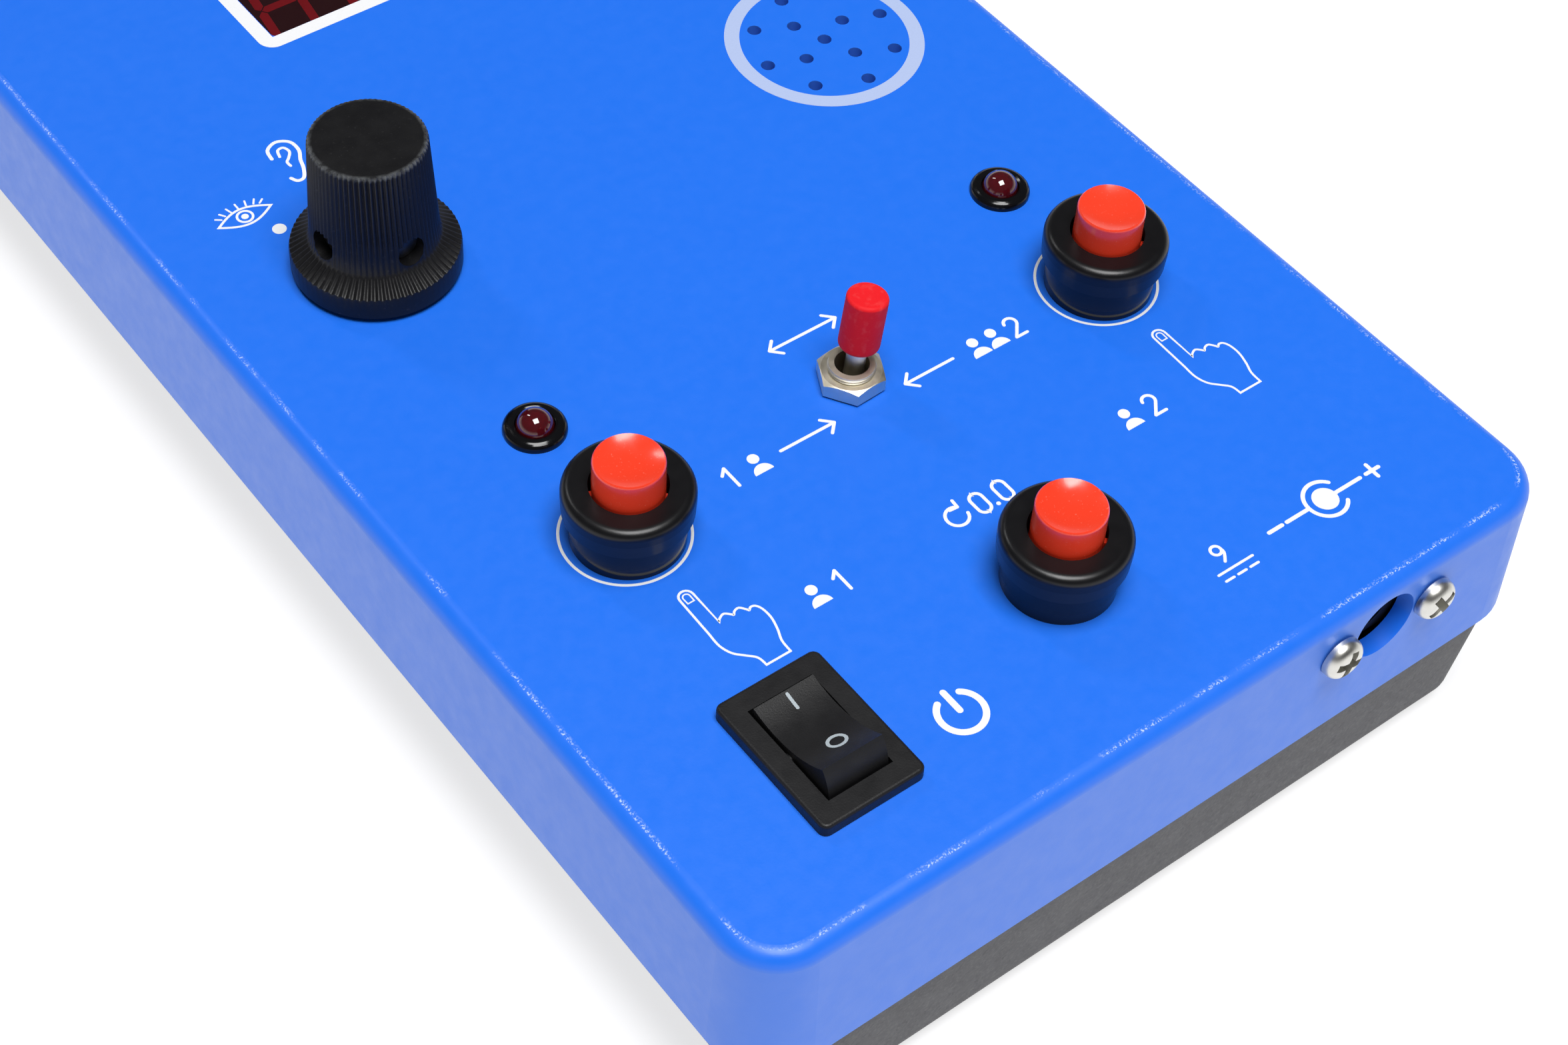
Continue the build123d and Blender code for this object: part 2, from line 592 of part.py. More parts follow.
def board_screws():
    low = BOARD_TOP - BOARD_THICK
    screws = []
    for x, y in BOARD_POSTS:
        screw = rod(2.2, low - 1.5, low, x, y) + rod(BOARD_SCREW_RADIUS, low - 0.5, BOARD_TOP + 6, x, y)
        screws.append(screw - Pos(x, y, low - 1.5) * Box(2.4, 0.6, 1.4))
    return Compound(screws)


def microcontroller():
    chip = slab((35.0, 7.2), BOARD_TOP + 0.6, BOARD_TOP + 4.0, -6, 84.5)
    for i in range(14):
        for side in (-1, 1):
            pin = slab((0.5, 0.8), BOARD_TOP, BOARD_TOP + 2.4, -6 + 2.54 * (i - 6.5), 84.5 + side * 3.9)
            chip += pin
    return chip


def capacitor():
    can = rod(3.15, BOARD_TOP, BOARD_TOP + 8.8, 26.0, 84.5)
    return fillet(can.faces().sort_by(Axis.Z)[-1].edges(), 0.5)


def regulator():
    tab = slab((10.2, 15.5), BOARD_TOP, BOARD_TOP + 1.3, 0, 43.5)
    return tab + slab((10.2, 9.0), BOARD_TOP + 1.3, BOARD_TOP + 4.5, 0, 40.3)


# ================================================================ power socket
def socket_body():
    width, height, thick = SOCKET_FLANGE
    back = WALL_INSIDE + SOCKET_DEPTH
    flange = Pos(SOCKET_X, WALL_INSIDE + thick / 2, SOCKET_Z) * Box(width, thick, height)
    barrel = Pos(SOCKET_X, WALL_INSIDE + SOCKET_DEPTH / 2, SOCKET_Z) * Box(9.6, SOCKET_DEPTH, height)
    body = flange + barrel - front_rod(SOCKET_BORE, WALL_INSIDE - 1, back - 3, SOCKET_X, SOCKET_Z)
    body -= front_rod(SOCKET_PIN_RADIUS, back - 4, back + 1, SOCKET_X, SOCKET_Z)
    for side in (-1, 1):
        x = SOCKET_X + side * SOCKET_SCREW_SPACING / 2
        body -= front_rod(SOCKET_SCREW_RADIUS + 0.1, WALL_INSIDE - 1, back, x, SOCKET_SCREW_Z)
    return body


def socket_pin():
    back = WALL_INSIDE + SOCKET_DEPTH
    pin = front_rod(SOCKET_PIN_RADIUS, WALL_INSIDE + 2.4, back + 3, SOCKET_X, SOCKET_Z)
    return fillet(pin.edges().sort_by(Axis.Y)[0], 0.6)


def socket_screws():
    screws = []
    for side in (-1, 1):
        x = SOCKET_X + side * SOCKET_SCREW_SPACING / 2
        front = SOCKET_HEAD_SEAT - SOCKET_HEAD_HEIGHT
        head = front_rod(SOCKET_HEAD_RADIUS, front, SOCKET_HEAD_SEAT, x, SOCKET_SCREW_Z)
        head = fillet(head.edges().sort_by(Axis.Y)[0], SOCKET_HEAD_ROUND)
        head += front_rod(SOCKET_SCREW_RADIUS, front + 1.8, WALL_INSIDE + 6, x, SOCKET_SCREW_Z)
        span, depth, width = SOCKET_RECESS
        place = Pos(x, front, SOCKET_SCREW_Z) * Rot(0, SOCKET_TURNS[side], 0)
        head -= place * Box(span, 2 * depth, width)
        screws.append(head - place * Box(width, 2 * depth, span))
    return Compound(screws)


def socket_nuts():
    nuts = []
    for side in (-1, 1):
        x = SOCKET_X + side * SOCKET_SCREW_SPACING / 2
        low = WALL_INSIDE + SOCKET_FLANGE[2]
        nut = Pos(x, low, SOCKET_SCREW_Z) * Rot(-90, 0, 0) * hexagon(3.1, 0, 2.4)
        nuts.append(nut - front_rod(SOCKET_SCREW_RADIUS, low - 1, low + 4, x, SOCKET_SCREW_Z))
    return Compound(nuts)


# ================================================================ everything
os.makedirs("parts", exist_ok=True)

save(top_shell(), "top_shell")
save(base_shell(), "base_shell")
save(case_screws(), "case_screws")
save(rubber_feet(), "rubber_feet")

for name, place in BUTTONS.items():
    save(on_panel(button_collar(), place), f"{name}_collar")
    save(on_panel(button_lock_nut(), place), f"{name}_lock_nut")
    save(on_panel(button_cap(), place), f"{name}_cap")
    save(on_panel(button_spring(), place), f"{name}_spring")
    save(on_panel(button_switch(), place), f"{name}_switch")
    save(Compound([on_panel(lug, place) for lug in lugs([(-3, 0), (3, 0)], SWITCH_END)]),
         f"{name}_terminals")
save(button_back_nuts(), "button_back_nuts")

for name, place in LAMPS.items():
    save(on_panel(lamp_bezel(), place), f"{name}_bezel")
    save(on_panel(lamp_body(), place), f"{name}_lamp")
    save(Compound([on_panel(lead, place) for lead in lamp_leads()]), f"{name}_leads")

for make in (toggle_lever, toggle_sleeve, toggle_bush, toggle_nut, toggle_washer, toggle_body,
             toggle_terminals, rocker_housing, rocker_paddle, rocker_terminals, selector_knob,
             knob_grub_screws, rotary_shaft, rotary_switch, rotary_nut, rotary_terminals,
             speaker_frame, speaker_cone, speaker_magnet, display_window, display_module, main_board,
             board_screws, microcontroller, capacitor, regulator, socket_body, socket_pin,
             socket_screws, socket_nuts):
    save(make(), make.__name__)
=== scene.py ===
import json
import math
import bmesh
import bpy
from mathutils import Euler, Matrix, Vector
from mathutils.bvhtree import BVHTree


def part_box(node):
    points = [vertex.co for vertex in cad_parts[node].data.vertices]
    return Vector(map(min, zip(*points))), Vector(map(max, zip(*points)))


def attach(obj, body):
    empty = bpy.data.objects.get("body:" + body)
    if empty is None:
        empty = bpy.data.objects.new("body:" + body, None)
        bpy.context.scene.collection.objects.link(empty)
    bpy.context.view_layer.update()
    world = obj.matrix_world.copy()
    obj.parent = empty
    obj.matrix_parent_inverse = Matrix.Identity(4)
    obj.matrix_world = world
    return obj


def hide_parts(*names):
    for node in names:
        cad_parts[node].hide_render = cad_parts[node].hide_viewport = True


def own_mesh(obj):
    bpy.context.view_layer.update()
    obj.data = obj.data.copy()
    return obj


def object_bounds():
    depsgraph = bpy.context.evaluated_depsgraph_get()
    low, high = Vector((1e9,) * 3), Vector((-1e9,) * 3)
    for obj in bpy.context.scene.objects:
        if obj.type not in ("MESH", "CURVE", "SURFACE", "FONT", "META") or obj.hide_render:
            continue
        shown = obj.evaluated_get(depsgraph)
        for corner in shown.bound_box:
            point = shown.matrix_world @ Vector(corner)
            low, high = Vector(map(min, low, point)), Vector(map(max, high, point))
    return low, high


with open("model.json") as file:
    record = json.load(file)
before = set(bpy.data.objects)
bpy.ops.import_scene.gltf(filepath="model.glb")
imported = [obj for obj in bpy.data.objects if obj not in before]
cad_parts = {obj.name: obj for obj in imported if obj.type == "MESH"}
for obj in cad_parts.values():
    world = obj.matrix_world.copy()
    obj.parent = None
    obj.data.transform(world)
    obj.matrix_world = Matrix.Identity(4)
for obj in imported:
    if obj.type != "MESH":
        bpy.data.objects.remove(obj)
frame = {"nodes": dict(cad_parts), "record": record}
CAD_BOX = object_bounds()

MM = 0.001
NODES = frame["nodes"]
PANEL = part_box("top_shell")[1].z            # the top of the control panel
INK = 0.04 * MM                             # thickness of the printed marks
INK_ROOT = 0.01 * MM                        # how far they reach below the surface
INK_STEP = 0.002 * MM                       # how much thicker each further shape of one mark is


# ================================================================ materials
def new_material(name, colour, roughness, metallic=0.0, **sockets):
    material = bpy.data.materials.new(name)
    material.use_nodes = True
    shader = material.node_tree.nodes["Principled BSDF"]
    shader.inputs["Base Color"].default_value = (*colour, 1.0)
    shader.inputs["Roughness"].default_value = roughness
    shader.inputs["Metallic"].default_value = metallic
    for socket, value in sockets.items():
        shader.inputs[socket.replace("_", " ")].default_value = value
    return material


def add_node(material, kind, **values):
    """Adds a shader node; values name its properties, or its input sockets if it has no such property."""
    node = material.node_tree.nodes.new("ShaderNode" + kind)
    for key, value in values.items():
        if hasattr(node, key):
            setattr(node, key, value)
        else:
            node.inputs[key.replace("_", " ")].default_value = value
    return node


def link(material, source, target):
    material.node_tree.links.new(source, target)


def shader_of(material):
    return material.node_tree.nodes["Principled BSDF"]


def place(material):
    """The object's own coordinates, in metres, in the row frame."""
    return add_node(material, "TexCoord").outputs["Object"]


def noise(material, size_mm, detail=3.0, stretch=None):
    """Noise whose features are about size_mm across; stretch multiplies the coordinates along each axis."""
    texture = add_node(material, "TexNoise", Scale=1.0 / (size_mm * MM), Detail=detail, Roughness=0.55)
    source = place(material)
    if stretch:
        mapping = add_node(material, "Mapping")
        mapping.inputs["Scale"].default_value = stretch
        link(material, source, mapping.inputs["Vector"])
        source = mapping.outputs["Vector"]
    link(material, source, texture.inputs["Vector"])
    return texture.outputs["Fac"]


def ramp(material, source, low, high, low_value=0.0, high_value=1.0):
    """Maps source from low..high to low_value..high_value, clamped."""
    node = add_node(material, "MapRange", clamp=True, From_Min=low, From_Max=high, To_Min=low_value,
                    To_Max=high_value)
    link(material, source, node.inputs["Value"])
    return node.outputs["Result"]


def calculate(material, operation, first, second=None):
    node = add_node(material, "Math", operation=operation)
    for socket, value in zip(node.inputs, (first, second)):
        if value is None:
            continue
        if isinstance(value, (int, float)):
            socket.default_value = value
        else:
            link(material, value, socket)
    return node.outputs["Value"]


def tint(material, factor, colour):
    """Mixes colour over what the base colour already is, by factor."""
    base = shader_of(material).inputs["Base Color"]
    node = add_node(material, "Mix", data_type="RGBA")
    if base.is_linked:
        link(material, base.links[0].from_socket, node.inputs[6])
    else:
        node.inputs[6].default_value = base.default_value
    node.inputs[7].default_value = (*colour, 1.0)
    link(material, factor, node.inputs[0])
    link(material, node.outputs[2], base)


def vary_roughness(material, source, low, high):
    link(material, ramp(material, source, 0.3, 0.7, low, high), shader_of(material).inputs["Roughness"])


def bump(material, height, strength, depth_mm):
    normal = shader_of(material).inputs["Normal"]
    node = add_node(material, "Bump", Strength=strength, Distance=depth_mm * MM)
    if normal.is_linked:
        link(material, normal.links[0].from_socket, node.inputs["Normal"])
    link(material, height, node.inputs["Height"])
    link(material, node.outputs["Normal"], normal)


def facing_up(material):
    """How far the surface faces up: 1 on the panel, 0 on an upright side."""
    up = add_node(material, "SeparateXYZ")
    link(material, add_node(material, "NewGeometry").outputs["Normal"], up.inputs["Vector"])
    return up.outputs["Z"]


def edge_band(material, low, high, soft):
    """1 where the surface has just begun to turn down from the panel, as at the start of a rounded edge."""
    up = facing_up(material)
    rising = ramp(material, up, low, low + soft)
    falling = ramp(material, up, high - soft, high, 1.0, 0.0)
    return calculate(material, "MULTIPLY", rising, falling)


PAINTED_GLINT_BAND = (0.945, 0.999, 0.02)            # how far up the surface faces where painted glints line the shell's edge
BRUSHED = (1.0, 1.0, 0.12)                 # stretch of the noise that marks turned metal


def moulded(name, colour, roughness, grain_mm=0.35, grain_depth=0.03, cloud=0.12, **sockets):
    """Moulded plastic: soft cloudiness in the colour, fine grain in the surface, uneven gloss."""
    material = new_material(name, colour, roughness, **sockets)
    lighter = tuple(min(1.0, c * 1.25 + 0.01) for c in colour)
    tint(material, ramp(material, noise(material, 18.0), 0.3, 0.7, 0.0, cloud * 2), lighter)
    vary_roughness(material, noise(material, 2.2, detail=5), roughness - 0.05, roughness + 0.06)
    bump(material, noise(material, grain_mm, detail=2), 0.6, grain_depth)
    return material


def shell_material():
    """Blue moulding, with painted light: a painted reflection makes the upright sides paler, and a broken
    line of painted glints, pale specks, lies where the top turns down.
    """
    blue = moulded("shell_blue", (0.012, 0.168, 0.86), 0.40, grain_mm=0.42, grain_depth=0.014, cloud=0.03)
    # painted reflection: surfaces that face sideways are tinted a paler blue
    tint(blue, ramp(blue, facing_up(blue), 0.05, 0.35, 0.22, 0.0), (0.20, 0.36, 0.80))
    # painted glints: a broken line of pale specks where the top begins to round down
    specks = ramp(blue, noise(blue, 0.24, detail=1.5), 0.50, 0.60)
    broken = ramp(blue, noise(blue, 6.0), 0.44, 0.60)
    patchy = calculate(blue, "MULTIPLY", specks, broken)
    painted_glints = calculate(blue, "MULTIPLY", patchy, edge_band(blue, *PAINTED_GLINT_BAND))
    tint(blue, calculate(blue, "MULTIPLY", painted_glints, 0.7), (0.70, 0.84, 1.0))
    return blue


def base_material():
    grey = moulded("base_grey", (0.075, 0.075, 0.081), 0.62, grain_mm=0.5, grain_depth=0.07)
    tint(grey, ramp(grey, noise(grey, 0.45, detail=1.5), 0.50, 0.72, 0.0, 0.4), (0.15, 0.15, 0.16))
    tint(grey, ramp(grey, noise(grey, 0.6, detail=1.5), 0.28, 0.42, 0.5, 0.0), (0.04, 0.04, 0.045))
    return grey


def metal(name, colour, roughness):
    """Turned metal: faint marks along its height, a little uneven in colour and gloss."""
    material = new_material(name, colour, roughness, metallic=1.0)
    uneven = noise(material, 2.0, detail=2, stretch=BRUSHED)
    vary_roughness(material, uneven, roughness * 0.85, roughness * 1.2)
    dull = ramp(material, noise(material, 1.5), 0.35, 0.7, 0.0, 0.25)
    tint(material, dull, tuple(c * 0.72 for c in colour))
    bump(material, noise(material, 1.5, detail=2, stretch=BRUSHED), 0.06, 0.01)
    return material


def clear(name, colour, roughness, alpha):
    """Clear coloured plastic with a hard gloss."""
    material = new_material(name, colour, roughness, Alpha=alpha, Coat_Weight=0.5, Coat_Roughness=0.03)
    bump(material, noise(material, 9.0), 0.1, 0.02)
    vary_roughness(material, noise(material, 3.0), roughness, roughness + 0.06)
    return material


def lamp_material():
    lamp = new_material("lamp_red", (0.045, 0.002, 0.005), 0.06, Coat_Weight=1.0, Coat_Roughness=0.02,
                        Subsurface_Weight=0.25, Subsurface_Scale=0.002)
    # painted light: where the dome faces the viewer it is painted a brighter red, for light seen in its core
    core = add_node(lamp, "LayerWeight", Blend=0.35).outputs["Facing"]
    tint(lamp, ramp(lamp, core, 0.0, 0.8, 0.6, 0.0), (0.10, 0.004, 0.008))
    bump(lamp, noise(lamp, 3.0), 0.05, 0.02)
    return lamp


def gloss_material():
    """Black moulding that is glossy on the low lamp bezels and satin on the taller push buttons."""
    black = new_material("gloss_black", (0.004, 0.004, 0.005), 0.30, Specular_IOR_Level=0.4)
    height = add_node(black, "SeparateXYZ")
    link(black, place(black), height.inputs["Vector"])
    satin = ramp(black, height.outputs["Z"], PANEL + 1.3 * MM, PANEL + 1.8 * MM, 0.12, 0.31)
    uneven = ramp(black, noise(black, 2.2, detail=5), 0.3, 0.7, -0.02, 0.03)
    link(black, calculate(black, "ADD", satin, uneven), shader_of(black).inputs["Roughness"])
    bump(black, noise(black, 1.0, detail=2), 0.6, 0.004)
    return black


def cap_material():
    red = moulded("cap_red", (0.90, 0.050, 0.018), 0.20, grain_mm=1.2, grain_depth=0.006, cloud=0.15,
                  Coat_Weight=0.35, Coat_Roughness=0.12)
    scuffs = ramp(red, noise(red, 0.35, detail=6, stretch=(1.0, 1.0, 3.0)), 0.63, 0.72, 0.0, 0.35)
    tint(red, scuffs, (0.98, 0.33, 0.25))
    return red


def sleeve_material():
    red = moulded("red_rubber", (0.78, 0.008, 0.014), 0.6, grain_mm=0.5, grain_depth=0.05, cloud=0.1,
                  Specular_IOR_Level=0.2)
    dusty = ramp(red, noise(red, 1.1, detail=5), 0.52, 0.7, 0.0, 0.3)
    tint(red, dusty, (0.85, 0.10, 0.10))
    return red


KNOB_BODY_LOW = 8.4                        # radius of the knob's fluted body, at its foot and at its top
KNOB_BODY_TOP = 7.6


def knob_material():
    """Black moulding whose upper rim is worn to grey."""
    low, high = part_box("selector_knob")
    centre, rim, top = (low + high) / 2, KNOB_BODY_TOP * MM, high.z
    black = moulded("knob_black", (0.005, 0.005, 0.006), 0.40, grain_mm=0.3, grain_depth=0.02,
                    Specular_IOR_Level=0.28)
    offset = add_node(black, "VectorMath", operation="SUBTRACT")
    link(black, place(black), offset.inputs[0])
    offset.inputs[1].default_value = (centre.x, centre.y, 0.0)
    flat = add_node(black, "VectorMath", operation="MULTIPLY")
    flat.inputs[1].default_value = (1.0, 1.0, 0.0)
    link(black, offset.outputs["Vector"], flat.inputs[0])
    length = add_node(black, "VectorMath", operation="LENGTH")
    link(black, flat.outputs["Vector"], length.inputs[0])
    height = add_node(black, "SeparateXYZ")
    link(black, place(black), height.inputs["Vector"])
    near_rim = ramp(black, length.outputs["Value"], rim - 0.75 * MM, rim - 0.25 * MM)
    near_top = ramp(black, height.outputs["Z"], top - 0.7 * MM, top - 0.25 * MM)
    worn = calculate(black, "MULTIPLY", near_rim, near_top)
    worn = calculate(black, "MULTIPLY", worn, ramp(black, noise(black, 0.8, detail=4), 0.38, 0.62, 0.1, 0.6))
    tint(black, worn, (0.16, 0.17, 0.18))
    tint(black, ramp(black, noise(black, 0.5, detail=5), 0.62, 0.75, 0.0, 0.06), (0.3, 0.3, 0.3))
    return black


def ink_material(name, colour):
    ink = new_material(name, colour, 0.42)
    tint(ink, ramp(ink, noise(ink, 0.25, detail=3), 0.5, 0.75, 0.0, 0.25), tuple(c * 0.82 for c in colour))
    bump(ink, noise(ink, 0.3), 0.3, 0.01)
    return ink


def make_materials():
    made = {
        "shell_blue": shell_material(),
        "base_grey": base_material(),
        "steel": metal("steel", (0.72, 0.71, 0.66), 0.34),
        "foot_rubber": moulded("foot_rubber", (0.02, 0.02, 0.02), 0.75, grain_mm=0.6, grain_depth=0.06),
        "black_plastic": moulded("black_plastic", (0.006, 0.006, 0.007), 0.46, grain_mm=0.22,
                                 grain_depth=0.03, Specular_IOR_Level=0.35),
        "red_rubber": sleeve_material(),
        "nickel": metal("nickel", (0.82, 0.76, 0.62), 0.40),
        "dark_steel": metal("dark_steel", (0.12, 0.12, 0.12), 0.4),
        "brown_plastic": moulded("brown_plastic", (0.09, 0.035, 0.02), 0.5),
        "tinned": metal("tinned", (0.75, 0.75, 0.74), 0.3),
        "paper": moulded("paper", (0.03, 0.03, 0.03), 0.8, grain_mm=0.4, grain_depth=0.08),
        "magnet": moulded("magnet", (0.05, 0.05, 0.05), 0.6),
        "red_window": clear("red_window", (0.03, 0.002, 0.004), 0.06, 0.34),
        "display_black": moulded("display_black", (0.010, 0.005, 0.006), 0.5),
        "board_green": moulded("board_green", (0.01, 0.12, 0.04), 0.35, grain_mm=0.8),
        "can": metal("can", (0.1, 0.12, 0.2), 0.35),
        "gloss_black": gloss_material(),
        "cap_red": cap_material(),
        "lamp_red": lamp_material(),
        "knob_black": knob_material(),
    }
    for entry in frame["record"]["subparts"]:
        mesh = NODES[entry["node"]].data
        mesh.materials.clear()
        mesh.materials.append(made[entry["material_slot"]])
    made["ink_white"] = ink_material("ink_white", (0.90, 0.91, 0.93))
    made["ink_pale"] = ink_material("ink_pale", (0.46, 0.56, 0.84))
    made["ink_grey"] = ink_material("ink_grey", (0.42, 0.48, 0.52))
    made["segment_red"] = moulded("segment_red", (0.62, 0.012, 0.022), 0.5)
    return made


# ================================================================ mesh helpers
def finish_mesh(name, mesh, material, body="console", smooth_degrees=None):
    made = bpy.data.meshes.new(name)
    bmesh.ops.recalc_face_normals(mesh, faces=mesh.faces)
    mesh.to_mesh(made)
    mesh.free()
    piece = bpy.data.objects.new(name, made)
    bpy.context.scene.collection.objects.link(piece)
    made.materials.append(material)
    if smooth_degrees:
        made.shade_smooth()
        made.set_sharp_from_angle(angle=math.radians(smooth_degrees))
    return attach(piece, body)


def circle(x, y, radius, count=64, first=0.0, last=360.0, tall=1.0):
    """Points round a circle, or along an arc of it; a whole circle doesn't repeat its first point."""
    whole = abs(last - first) >= 360
    steps = count if whole else count - 1
    angles = [math.radians(first + (last - first) * i / steps) for i in range(count)]
    return [Vector((x + radius * math.cos(a), y + radius * tall * math.sin(a))) for a in angles]


def smooth_path(points, steps=6):
    """A soft curve through a few points (Catmull-Rom)."""
    points = [Vector(p) for p in points]
    last = len(points) - 1
    path = []
    for i in range(last):
        a, b, c, d = (points[max(0, min(last, i + k))] for k in (-1, 0, 1, 2))
        for s in range(steps):
            t = s / steps
            path.append(0.5 * (2 * b + (c - a) * t + (2 * a - 5 * b + 4 * c - d) * t * t
                               + (3 * b - a - 3 * c + d) * t ** 3))
    return path + [points[-1]]


def rounded_box(x, y, width, height, corner):
    points = []
    for sx, sy, first in ((1, 1, 0), (-1, 1, 90), (-1, -1, 180), (1, -1, 270)):
        points += circle(x + sx * (width / 2 - corner), y + sy * (height / 2 - corner), corner, 8,
                         first, first + 90)
    return points


def area_shape(points):
    """A flat shape with this outline. Like every shape here, it is a list of points and a list of faces."""
    return points, [list(range(len(points)))]


def stroke_shape(points, width, closed=False):
    """A flat strip of even width along points, with round ends when it is open."""
    points = [Vector(p) for p in points]
    n, half = len(points), width / 2
    corners = []
    for i, point in enumerate(points):
        before = points[i - 1] if (i or closed) else None
        after = points[(i + 1) % n] if (i < n - 1 or closed) else None
        first = (point - before).normalized() if before is not None else (after - point).normalized()
        second = (after - point).normalized() if after is not None else first
        normals = [Vector((-d.y, d.x)) for d in (first, second)]
        mitre = (normals[0] + normals[1]).normalized()
        reach = half / max(0.5, mitre.dot(normals[0]))
        corners += [point + mitre * reach, point - mitre * reach]
    spans = n if closed else n - 1
    faces = []
    for i in range(spans):
        j = (i + 1) % n
        faces.append([2 * i + 1, 2 * j + 1, 2 * j, 2 * i])
    if not closed:
        for index, other, left, right in ((0, 1, 0, 1), (n - 1, n - 2, 2 * n - 1, 2 * n - 2)):
            away = points[index] - points[other]
            heading = math.degrees(math.atan2(away.y, away.x))
            cap = circle(points[index].x, points[index].y, half, 8, heading - 90, heading + 90)[1:-1]
            start = len(corners)
            corners += cap
            faces.append([left] + list(range(start, start + len(cap))) + [right])
    return corners, faces


def bent_strokes(points, width):
    """Strips from each point to the next, whose round ends make the corners."""
    return [stroke_shape(pair, width) for pair in zip(points, points[1:])]


def add_plate(mesh, shape, level, low, high):
    """Adds a flat shape as a thin closed solid, from low to high above level.
    level is a height or a function of x and y that gives one."""
    points, faces = shape
    ground = level if callable(level) else (lambda x, y: level)
    under, over = ([mesh.verts.new((p[0] * MM, p[1] * MM, ground(p[0], p[1]) + lift)) for p in points]
                   for lift in (low, high))
    edges = {(a, b) for face in faces for a, b in zip(face, face[1:] + face[:1])}
    for face in faces:
        mesh.faces.new([over[i] for i in face])
        mesh.faces.new([under[i] for i in reversed(face)])
    for a, b in edges:
        if (b, a) not in edges:
            mesh.faces.new((under[a], under[b], over[b], over[a]))


def printed(name, shapes, material, body="console", level=PANEL):
    """Prints shapes on a surface. Each is a hair thicker than the last, so that no two share a face
    where they cross."""
    mesh = bmesh.new()
    for index, shape in enumerate(shapes):
        add_plate(mesh, shape, level, -INK_ROOT, INK + index * INK_STEP)
    return finish_mesh(name, mesh, material, body)


def turned(mesh, profile, count, centre, wobble=None):
    """Adds a closed profile of (radius, height) points turned about an upright axis through centre.
    wobble(index, angle) returns what to add to the radius and the height of a profile point there."""
    rings = []
    for k, (radius, height) in enumerate(profile):
        ring = []
        for i in range(count):
            angle = 2 * math.pi * i / count
            more, lift = wobble(k, angle) if wobble else (0.0, 0.0)
            reach = (radius + more) * MM
            x, y = centre.x + reach * math.cos(angle), centre.y + reach * math.sin(angle)
            ring.append(mesh.verts.new((x, y, centre.z + (height + lift) * MM)))
        rings.append(ring)
    for k, ring in enumerate(rings):
        above = rings[(k + 1) % len(rings)]
        for i in range(count):
            j = (i + 1) % count
            mesh.faces.new((ring[i], ring[j], above[j], above[i]))


def middle(node):
    low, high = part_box(node)
    return (low + high) / 2


def on_panel(node):
    point = middle(node)
    return Vector((point.x, point.y, PANEL))


def near(node):
    """A node's middle on the panel, in millimetres, as x and y."""
    point = middle(node)
    return point.x / MM, point.y / MM


# ================================================================ selector knob
FLUTES = 72
SAMPLES_PER_FLUTE = 8
SKIRT_GROOVE = 0.26
FLUTE_DEPTH = 0.28
BODY_STEPS = 6
KNOB_FOOT_OF_BODY = 6.1                    # levels above the panel
KNOB_BORE_TOP = 17.0
KNOB_RECESS_TOP = 3.4
KNOB_COLLAR_TOP = 4.9
KNOB_BORE = 3.03                           # radii
KNOB_COLLAR = 5.0
KNOB_RECESS = 9.0
KNOB_CORE = 0.4                            # the turned profile stops here; flat ends close it
GRUB_HOLE = 2.0
GRUB_ANGLES = (-86.0, -175.0)
GRUB_DRILL = (2.1, 12.4)                   # from the axis to the holes' two ends
SHARP_ANGLE = 38


def cut_holes(piece, centre, height):
    """Bores the level holes of the grub screws into the knob, with one cutter for them all."""
    near, far = (reach * MM for reach in GRUB_DRILL)
    drills = bmesh.new()
    for angle in GRUB_ANGLES:
        where = (Matrix.Translation((centre.x, centre.y, centre.z + height))
                 @ Matrix.Rotation(math.radians(angle), 4, "Z")
                 @ Matrix.Translation(((near + far) / 2, 0, 0)) @ Matrix.Rotation(math.pi / 2, 4, "Y"))
        bmesh.ops.create_cone(drills, cap_ends=True, segments=40, radius1=GRUB_HOLE * MM,
                              radius2=GRUB_HOLE * MM, depth=far - near, matrix=where)
    data = bpy.data.meshes.new("drills")
    drills.to_mesh(data)
    drills.free()
    tool = bpy.data.objects.new("drills", data)
    bpy.context.scene.collection.objects.link(tool)
    modifier = piece.modifiers.new("holes", "BOOLEAN")
    modifier.object = tool
    modifier.solver = "EXACT"
    bpy.context.view_layer.objects.active = piece
    bpy.ops.object.modifier_apply(modifier=modifier.name)
    bpy.data.objects.remove(tool)


def knob_profile(skirt, foot, top):
    """The knob's closed outline, and how much of the full groove or flute each of its points gets."""
    outline = [(skirt - 0.25, foot), (skirt, foot + 0.25), (skirt, 3.55), (skirt - 0.12, 4.05),
               (skirt - 0.5, 4.3), (8.75, 5.55), (KNOB_BODY_LOW, 5.95)]
    grooved = {3: 0.7, 4: 1.0, 5: 1.0, 6: 0.4}
    fluted = {}
    for i in range(1, BODY_STEPS + 1):
        share = i / BODY_STEPS
        fluted[len(outline)] = 1.0
        outline.append((KNOB_BODY_LOW + (KNOB_BODY_TOP - KNOB_BODY_LOW) * share,
                        KNOB_FOOT_OF_BODY + (top - 0.45 - KNOB_FOOT_OF_BODY) * share))
    fluted[len(outline)] = 0.8
    outline.append((KNOB_BODY_TOP - 0.08, top - 0.2))
    fluted[len(outline)] = 0.25
    outline.append((KNOB_BODY_TOP - 0.3, top))
    outline += [(5.5, top), (KNOB_CORE, top), (KNOB_CORE, KNOB_BORE_TOP), (KNOB_BORE, KNOB_BORE_TOP),
                (KNOB_BORE, KNOB_COLLAR_TOP), (KNOB_COLLAR, KNOB_COLLAR_TOP),
                (KNOB_COLLAR, KNOB_RECESS_TOP), (KNOB_RECESS, KNOB_RECESS_TOP), (KNOB_RECESS, foot)]
    return outline, grooved, fluted


